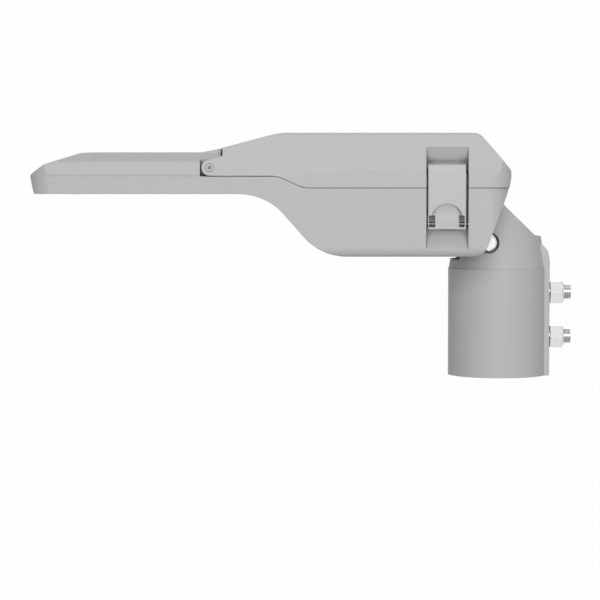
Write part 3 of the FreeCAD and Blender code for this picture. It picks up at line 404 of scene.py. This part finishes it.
# shallow ribs along the top of the driver, and a row of wire mouths at its rear end
driverTrim = {"ribs": 7, "ribWidth": 0.0016, "ribHeight": 0.0008, "ribLength": 0.046, "ribPitch": 0.0062,
              "ribRounding": 0.0003, "mouths": 5, "mouthPitch": 0.0072, "mouthWide": 0.0052,
              "mouthHigh": 0.0046, "mouthDeep": 0.0018, "mouthZ": 0.011, "mouthIn": 0.004,
              "mouthWall": 0.0008, "mouthSlope": 0.0002, "hollowShare": 0.9}


def shapedBlock(bm, size, place, rounding):
    made = bmesh.ops.create_cube(bm, size=1.0)
    bmesh.ops.scale(bm, verts=made["verts"], vec=size)
    bmesh.ops.translate(bm, verts=made["verts"], vec=place)
    bmesh.ops.bevel(bm, geom=edgesOf(made["verts"]), offset=rounding, offset_type="OFFSET", segments=2,
                    profile=0.5, affect="EDGES", material=-1)


def driverDetails():
    low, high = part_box("led_driver")
    middleX = (low.x + high.x) / 2
    middleY = (low.y + high.y) / 2
    ribSize = (driverTrim["ribLength"], driverTrim["ribWidth"], driverTrim["ribHeight"] * 2)
    bm = bmesh.new()
    for index in range(driverTrim["ribs"]):
        y = middleY + (index - (driverTrim["ribs"] - 1) / 2) * driverTrim["ribPitch"]
        shapedBlock(bm, ribSize, (middleX, y, high.z), driverTrim["ribRounding"])
    newPiece("driver_ribs", bm, "whitePlastic", "head")
    mouthSize = (driverTrim["mouthDeep"], driverTrim["mouthWide"], driverTrim["mouthHigh"])
    x = high.x - driverTrim["mouthIn"] + driverTrim["mouthDeep"] / 2
    z = low.z + driverTrim["mouthZ"]
    hollow = -driverTrim["mouthDeep"] * driverTrim["hollowShare"]
    bm = bmesh.new()
    for index in range(driverTrim["mouths"]):
        y = middleY + (index - (driverTrim["mouths"] - 1) / 2) * driverTrim["mouthPitch"]
        made = bmesh.ops.create_cube(bm, size=1.0)
        bmesh.ops.scale(bm, verts=made["verts"], vec=mouthSize)
        bmesh.ops.translate(bm, verts=made["verts"], vec=(x, y, z))
        outer = max(facesOf(made), key=lambda face: face.calc_center_median().x)
        bmesh.ops.inset_individual(bm, faces=[outer], thickness=driverTrim["mouthWall"])
        bmesh.ops.inset_individual(bm, faces=[outer], thickness=driverTrim["mouthSlope"], depth=hollow)
    newPiece("driver_mouths", bm, "blackPlastic", "head")


# status window and two hollow-headed screws on the surge protector
surgeTrim = {"windowLong": 0.009, "windowWide": 0.0045, "windowHigh": 0.0008, "windowRounding": 0.0006,
             "screwRadius": 0.0022, "screwTop": 0.86, "screwHeight": 0.001, "screwRise": 0.0004,
             "screwIn": 0.006, "screwRim": 0.0007, "screwHollow": 0.0004}


def surgeDetails():
    low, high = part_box("surge_protector")
    middle = (low + high) / 2
    windowSize = (surgeTrim["windowLong"], surgeTrim["windowWide"], surgeTrim["windowHigh"] * 2)
    bm = bmesh.new()
    shapedBlock(bm, windowSize, (middle.x, middle.y, high.z), surgeTrim["windowRounding"])
    newPiece("surge_window", bm, "lens", "head")
    radius = surgeTrim["screwRadius"]
    z = high.z + surgeTrim["screwRise"]
    bm = bmesh.new()
    for y in (low.y + surgeTrim["screwIn"], high.y - surgeTrim["screwIn"]):
        made = bmesh.ops.create_cone(bm, cap_ends=True, segments=24, radius1=radius,
                                     radius2=radius * surgeTrim["screwTop"], depth=surgeTrim["screwHeight"],
                                     matrix=Matrix.Translation((middle.x, y, z)))
        bmesh.ops.inset_individual(bm, faces=[topFace(made)], thickness=surgeTrim["screwRim"],
                                   depth=-surgeTrim["screwHollow"])
    newPiece("surge_screws", bm, "zinc", "head")


terminalScrews()
ribsOnGland()
threadsOnScrews()
frameScrewHeads()
driverDetails()
surgeDetails()
print("small pieces made")

stageSettings = {"floorZ": -0.45, "floorSize": 9.0, "floorColour": 0.6, "floorRoughness": 0.9,
                 "glowShare": 0.98, "white": 0.99, "ambient": 0.22, "lampAim": (-0.17, 0.0, 0.12)}


# one for rays that see the backdrop straight on, in a mirror or through glass
def backdropRays(tree):
    path = tree.nodes.new("ShaderNodeLightPath")
    seen, glossy, passed = (Wire(tree, path.outputs[name]) for name in
                            ("Is Camera Ray", "Is Glossy Ray", "Is Transmission Ray"))
    return seen.math("ADD", glossy, clamp=True).math("ADD", passed, clamp=True)


def paleFloor():
    bm = bmesh.new()
    bmesh.ops.create_grid(bm, x_segments=1, y_segments=1, size=stageSettings["floorSize"])
    bmesh.ops.translate(bm, verts=bm.verts, vec=(0, 0, stageSettings["floorZ"]))
    mesh = bpy.data.meshes.new("paleFloor")
    bm.to_mesh(mesh)
    bm.free()
    floor = bpy.data.objects.new("paleFloor", mesh)
    bpy.context.scene.collection.objects.link(floor)
    finish = Finish("paleFloor")
    finish.set(Base_Color=shade(stageSettings["floorColour"]), Roughness=stageSettings["floorRoughness"])
    straight = backdropRays(finish.tree) * stageSettings["glowShare"]
    plain = Wire(finish.tree, finish.shader.outputs[0])
    glow = finish.add("ShaderNodeEmission", {}, {"Color": shade(1.0), "Strength": 1.0})
    mix = finish.add("ShaderNodeMixShader", {}, {0: straight, 1: plain, 2: glow})
    clear = finish.add("ShaderNodeBsdfTransparent", {}, {})
    below = finish.add("ShaderNodeNewGeometry", {}, {}, "Backfacing")
    oneSided = finish.add("ShaderNodeMixShader", {}, {0: below, 1: mix, 2: clear})
    finish.tree.links.new(oneSided.socket, finish.tree.nodes["Material Output"].inputs["Surface"])
    mesh.materials.append(finish.material)


def whiteWorld():
    ambient = stageSettings["ambient"]
    world = bpy.data.worlds.new("whiteWorld")
    bpy.context.scene.world = world
    world.use_nodes = True
    tree = world.node_tree
    background = tree.nodes["Background"]
    strength = backdropRays(tree) * (stageSettings["white"] - ambient) + ambient
    background.inputs["Color"].default_value = shade(1.0)
    feed(tree, background.inputs["Strength"], strength)


lamps = [
    {"name": "keyFront", "place": (0.0, -2.4, 0.75), "size": 1.3, "power": 33.8},
    {"name": "leftSoft", "place": (-1.1, -2.1, 0.5), "size": 1.0, "power": 0.3},
    {"name": "rightSoft", "place": (1.7, -1.2, 0.35), "size": 1.0, "power": 0.6},
    {"name": "backSoft", "place": (-0.5, 2.4, 0.5), "size": 1.8, "power": 8.0},
    {"name": "topSoft", "place": (-0.1, -0.2, 2.2), "size": 1.8, "power": 10.2},
]


def softLamp(settings):
    light = bpy.data.lights.new(settings["name"], "AREA")
    light.shape = "SQUARE"
    light.size = settings["size"]
    light.energy = settings["power"]
    lamp = bpy.data.objects.new(settings["name"], light)
    bpy.context.scene.collection.objects.link(lamp)
    lamp.location = settings["place"]
    aim = Vector(stageSettings["lampAim"]) - lamp.location
    lamp.rotation_euler = aim.to_track_quat("-Z", "Y").to_euler()


# distances in metres, and the middle of the socket's mouth in the picture's own pixels
photoCamera = {"elevation": 3.6, "distance": 2.156, "pixelSize": 0.00088, "imageWidth": 600,
               "mouthPixel": (497, 374), "centrePixel": (300, 300), "sensorWidth": 36.0}


def lookAsPhoto():
    settings = photoCamera
    across = (settings["centrePixel"][0] - settings["mouthPixel"][0]) * settings["pixelSize"]
    up = (settings["mouthPixel"][1] - settings["centrePixel"][1]) * settings["pixelSize"]
    target = Vector((across, 0.0, up))
    pitch = math.radians(settings["elevation"])
    data = bpy.data.cameras.new("photoCamera")
    data.sensor_width = settings["sensorWidth"]
    distanceInPixels = settings["distance"] / settings["pixelSize"]
    data.lens = settings["sensorWidth"] * distanceInPixels / settings["imageWidth"]
    camera = bpy.data.objects.new("photoCamera", data)
    bpy.context.scene.collection.objects.link(camera)
    camera.location = target + settings["distance"] * Vector((0, -math.cos(pitch), math.sin(pitch)))
    camera.rotation_euler = (math.radians(90) - pitch, 0, 0)
    bpy.context.scene.camera = camera


paleFloor()
whiteWorld()
for lampSettings in lamps:
    softLamp(lampSettings)
lookAsPhoto()
bpy.context.scene.view_settings.view_transform = "Standard"
print("stage, lamps and camera set")
